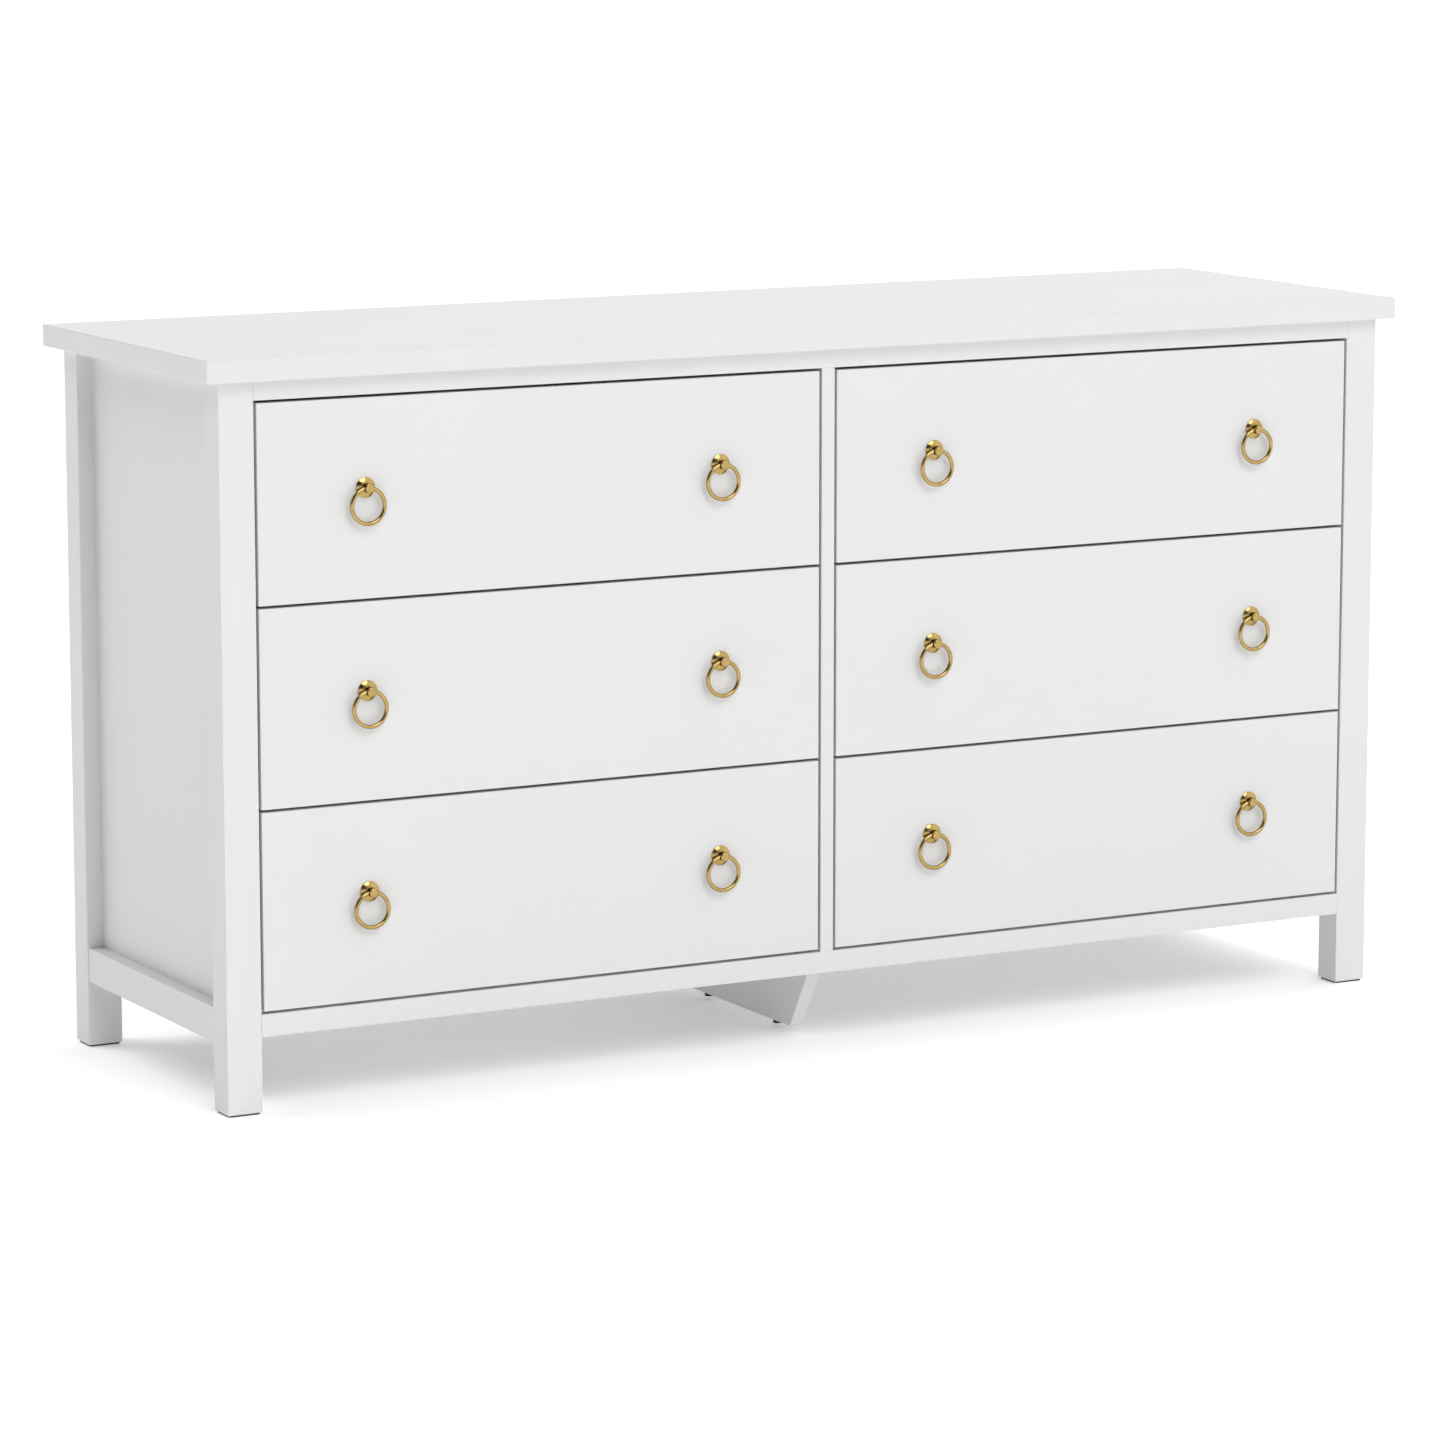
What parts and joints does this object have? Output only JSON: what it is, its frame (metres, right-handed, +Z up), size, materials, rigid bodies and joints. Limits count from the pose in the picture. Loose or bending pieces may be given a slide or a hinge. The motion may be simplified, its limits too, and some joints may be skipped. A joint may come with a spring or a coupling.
{
  "type": "dresser with drawers",
  "caption": "Low wide white dresser: inset slab drawers in two columns, loose brass ring pulls, full-height corner posts and a centre support.",
  "frame": {"origin": "on the floor, under the centre of the top panel", "axes": "+X to the right along the drawers' fronts, +Y to the back, +Z up; the drawers open towards -Y"},
  "size_m": [1.48, 0.448, 0.8],
  "materials": {
    "painted_board": "satin white paint on medium-density fibreboard",
    "box_board": "white foil on particle board",
    "bottom_board": "white-faced hardboard",
    "back_board": "white-faced hardboard",
    "brass": "satin, lacquered",
    "runner_steel": "zinc plated, satin",
    "zinc_steel": "zinc plated",
    "glide_plastic": "matt"
  },
  "bodies": {
    "carcass": {"top_panel": "painted_board", "post_front_left": "painted_board", "post_rear_left": "painted_board", "side_panel_left": "painted_board", "side_rail_left": "painted_board", "post_front_right": "painted_board", "post_rear_right": "painted_board", "side_panel_right": "painted_board", "side_rail_right": "painted_board", "front_top_rail": "painted_board", "front_bottom_rail": "painted_board", "rear_rails": "painted_board", "centre_divider": "painted_board", "back_panel": "back_board", "centre_support": "painted_board", "fixings": "zinc_steel", "glides": "glide_plastic", "cabinet_runners": "runner_steel"},
    "top_left_drawer": {"top_left_drawer_front": "painted_board", "top_left_drawer_box": "box_board", "top_left_drawer_bottom": "bottom_board", "top_left_drawer_runners": "runner_steel", "top_left_drawer_pulls": "brass"},
    "top_left_drawer_ring_left": {"top_left_drawer_ring_left": "brass"},
    "top_left_drawer_ring_right": {"top_left_drawer_ring_right": "brass"},
    "middle_left_drawer": {"middle_left_drawer_front": "painted_board", "middle_left_drawer_box": "box_board", "middle_left_drawer_bottom": "bottom_board", "middle_left_drawer_runners": "runner_steel", "middle_left_drawer_pulls": "brass"},
    "middle_left_drawer_ring_left": {"middle_left_drawer_ring_left": "brass"},
    "middle_left_drawer_ring_right": {"middle_left_drawer_ring_right": "brass"},
    "bottom_left_drawer": {"bottom_left_drawer_front": "painted_board", "bottom_left_drawer_box": "box_board", "bottom_left_drawer_bottom": "bottom_board", "bottom_left_drawer_runners": "runner_steel", "bottom_left_drawer_pulls": "brass"},
    "bottom_left_drawer_ring_left": {"bottom_left_drawer_ring_left": "brass"},
    "bottom_left_drawer_ring_right": {"bottom_left_drawer_ring_right": "brass"},
    "top_right_drawer": {"top_right_drawer_front": "painted_board", "top_right_drawer_box": "box_board", "top_right_drawer_bottom": "bottom_board", "top_right_drawer_runners": "runner_steel", "top_right_drawer_pulls": "brass"},
    "top_right_drawer_ring_left": {"top_right_drawer_ring_left": "brass"},
    "top_right_drawer_ring_right": {"top_right_drawer_ring_right": "brass"},
    "middle_right_drawer": {"middle_right_drawer_front": "painted_board", "middle_right_drawer_box": "box_board", "middle_right_drawer_bottom": "bottom_board", "middle_right_drawer_runners": "runner_steel", "middle_right_drawer_pulls": "brass"},
    "middle_right_drawer_ring_left": {"middle_right_drawer_ring_left": "brass"},
    "middle_right_drawer_ring_right": {"middle_right_drawer_ring_right": "brass"},
    "bottom_right_drawer": {"bottom_right_drawer_front": "painted_board", "bottom_right_drawer_box": "box_board", "bottom_right_drawer_bottom": "bottom_board", "bottom_right_drawer_runners": "runner_steel", "bottom_right_drawer_pulls": "brass"},
    "bottom_right_drawer_ring_left": {"bottom_right_drawer_ring_left": "brass"},
    "bottom_right_drawer_ring_right": {"bottom_right_drawer_ring_right": "brass"}
  },
  "joints": [
    {"name": "top_left_drawer_slide", "type": "slide", "parent": "carcass", "child": "top_left_drawer", "axis": [0, -1, 0], "range_m": [0, 0.28]},
    {"name": "top_left_drawer_ring_left_swing", "type": "hinge", "parent": "top_left_drawer", "child": "top_left_drawer_ring_left", "pos_m": [-0.556, -0.2182, 0.6575], "axis": [-1, 0, 0], "range_deg": [-5, 178]},
    {"name": "top_left_drawer_ring_right_swing", "type": "hinge", "parent": "top_left_drawer", "child": "top_left_drawer_ring_right", "pos_m": [-0.134, -0.2182, 0.6575], "axis": [-1, 0, 0], "range_deg": [-5, 178]},
    {"name": "middle_left_drawer_slide", "type": "slide", "parent": "carcass", "child": "middle_left_drawer", "axis": [0, -1, 0], "range_m": [0, 0.28]},
    {"name": "middle_left_drawer_ring_left_swing", "type": "hinge", "parent": "middle_left_drawer", "child": "middle_left_drawer_ring_left", "pos_m": [-0.556, -0.2182, 0.4425], "axis": [-1, 0, 0], "range_deg": [-5, 178]},
    {"name": "middle_left_drawer_ring_right_swing", "type": "hinge", "parent": "middle_left_drawer", "child": "middle_left_drawer_ring_right", "pos_m": [-0.134, -0.2182, 0.4425], "axis": [-1, 0, 0], "range_deg": [-5, 178]},
    {"name": "bottom_left_drawer_slide", "type": "slide", "parent": "carcass", "child": "bottom_left_drawer", "axis": [0, -1, 0], "range_m": [0, 0.28]},
    {"name": "bottom_left_drawer_ring_left_swing", "type": "hinge", "parent": "bottom_left_drawer", "child": "bottom_left_drawer_ring_left", "pos_m": [-0.556, -0.2182, 0.2275], "axis": [-1, 0, 0], "range_deg": [-5, 178]},
    {"name": "bottom_left_drawer_ring_right_swing", "type": "hinge", "parent": "bottom_left_drawer", "child": "bottom_left_drawer_ring_right", "pos_m": [-0.134, -0.2182, 0.2275], "axis": [-1, 0, 0], "range_deg": [-5, 178]},
    {"name": "top_right_drawer_slide", "type": "slide", "parent": "carcass", "child": "top_right_drawer", "axis": [0, -1, 0], "range_m": [0, 0.28]},
    {"name": "top_right_drawer_ring_left_swing", "type": "hinge", "parent": "top_right_drawer", "child": "top_right_drawer_ring_left", "pos_m": [0.134, -0.2182, 0.6575], "axis": [-1, 0, 0], "range_deg": [-5, 178]},
    {"name": "top_right_drawer_ring_right_swing", "type": "hinge", "parent": "top_right_drawer", "child": "top_right_drawer_ring_right", "pos_m": [0.556, -0.2182, 0.6575], "axis": [-1, 0, 0], "range_deg": [-5, 178]},
    {"name": "middle_right_drawer_slide", "type": "slide", "parent": "carcass", "child": "middle_right_drawer", "axis": [0, -1, 0], "range_m": [0, 0.28]},
    {"name": "middle_right_drawer_ring_left_swing", "type": "hinge", "parent": "middle_right_drawer", "child": "middle_right_drawer_ring_left", "pos_m": [0.134, -0.2182, 0.4425], "axis": [-1, 0, 0], "range_deg": [-5, 178]},
    {"name": "middle_right_drawer_ring_right_swing", "type": "hinge", "parent": "middle_right_drawer", "child": "middle_right_drawer_ring_right", "pos_m": [0.556, -0.2182, 0.4425], "axis": [-1, 0, 0], "range_deg": [-5, 178]},
    {"name": "bottom_right_drawer_slide", "type": "slide", "parent": "carcass", "child": "bottom_right_drawer", "axis": [0, -1, 0], "range_m": [0, 0.28]},
    {"name": "bottom_right_drawer_ring_left_swing", "type": "hinge", "parent": "bottom_right_drawer", "child": "bottom_right_drawer_ring_left", "pos_m": [0.134, -0.2182, 0.2275], "axis": [-1, 0, 0], "range_deg": [-5, 178]},
    {"name": "bottom_right_drawer_ring_right_swing", "type": "hinge", "parent": "bottom_right_drawer", "child": "bottom_right_drawer_ring_right", "pos_m": [0.556, -0.2182, 0.2275], "axis": [-1, 0, 0], "range_deg": [-5, 178]}
  ]
}
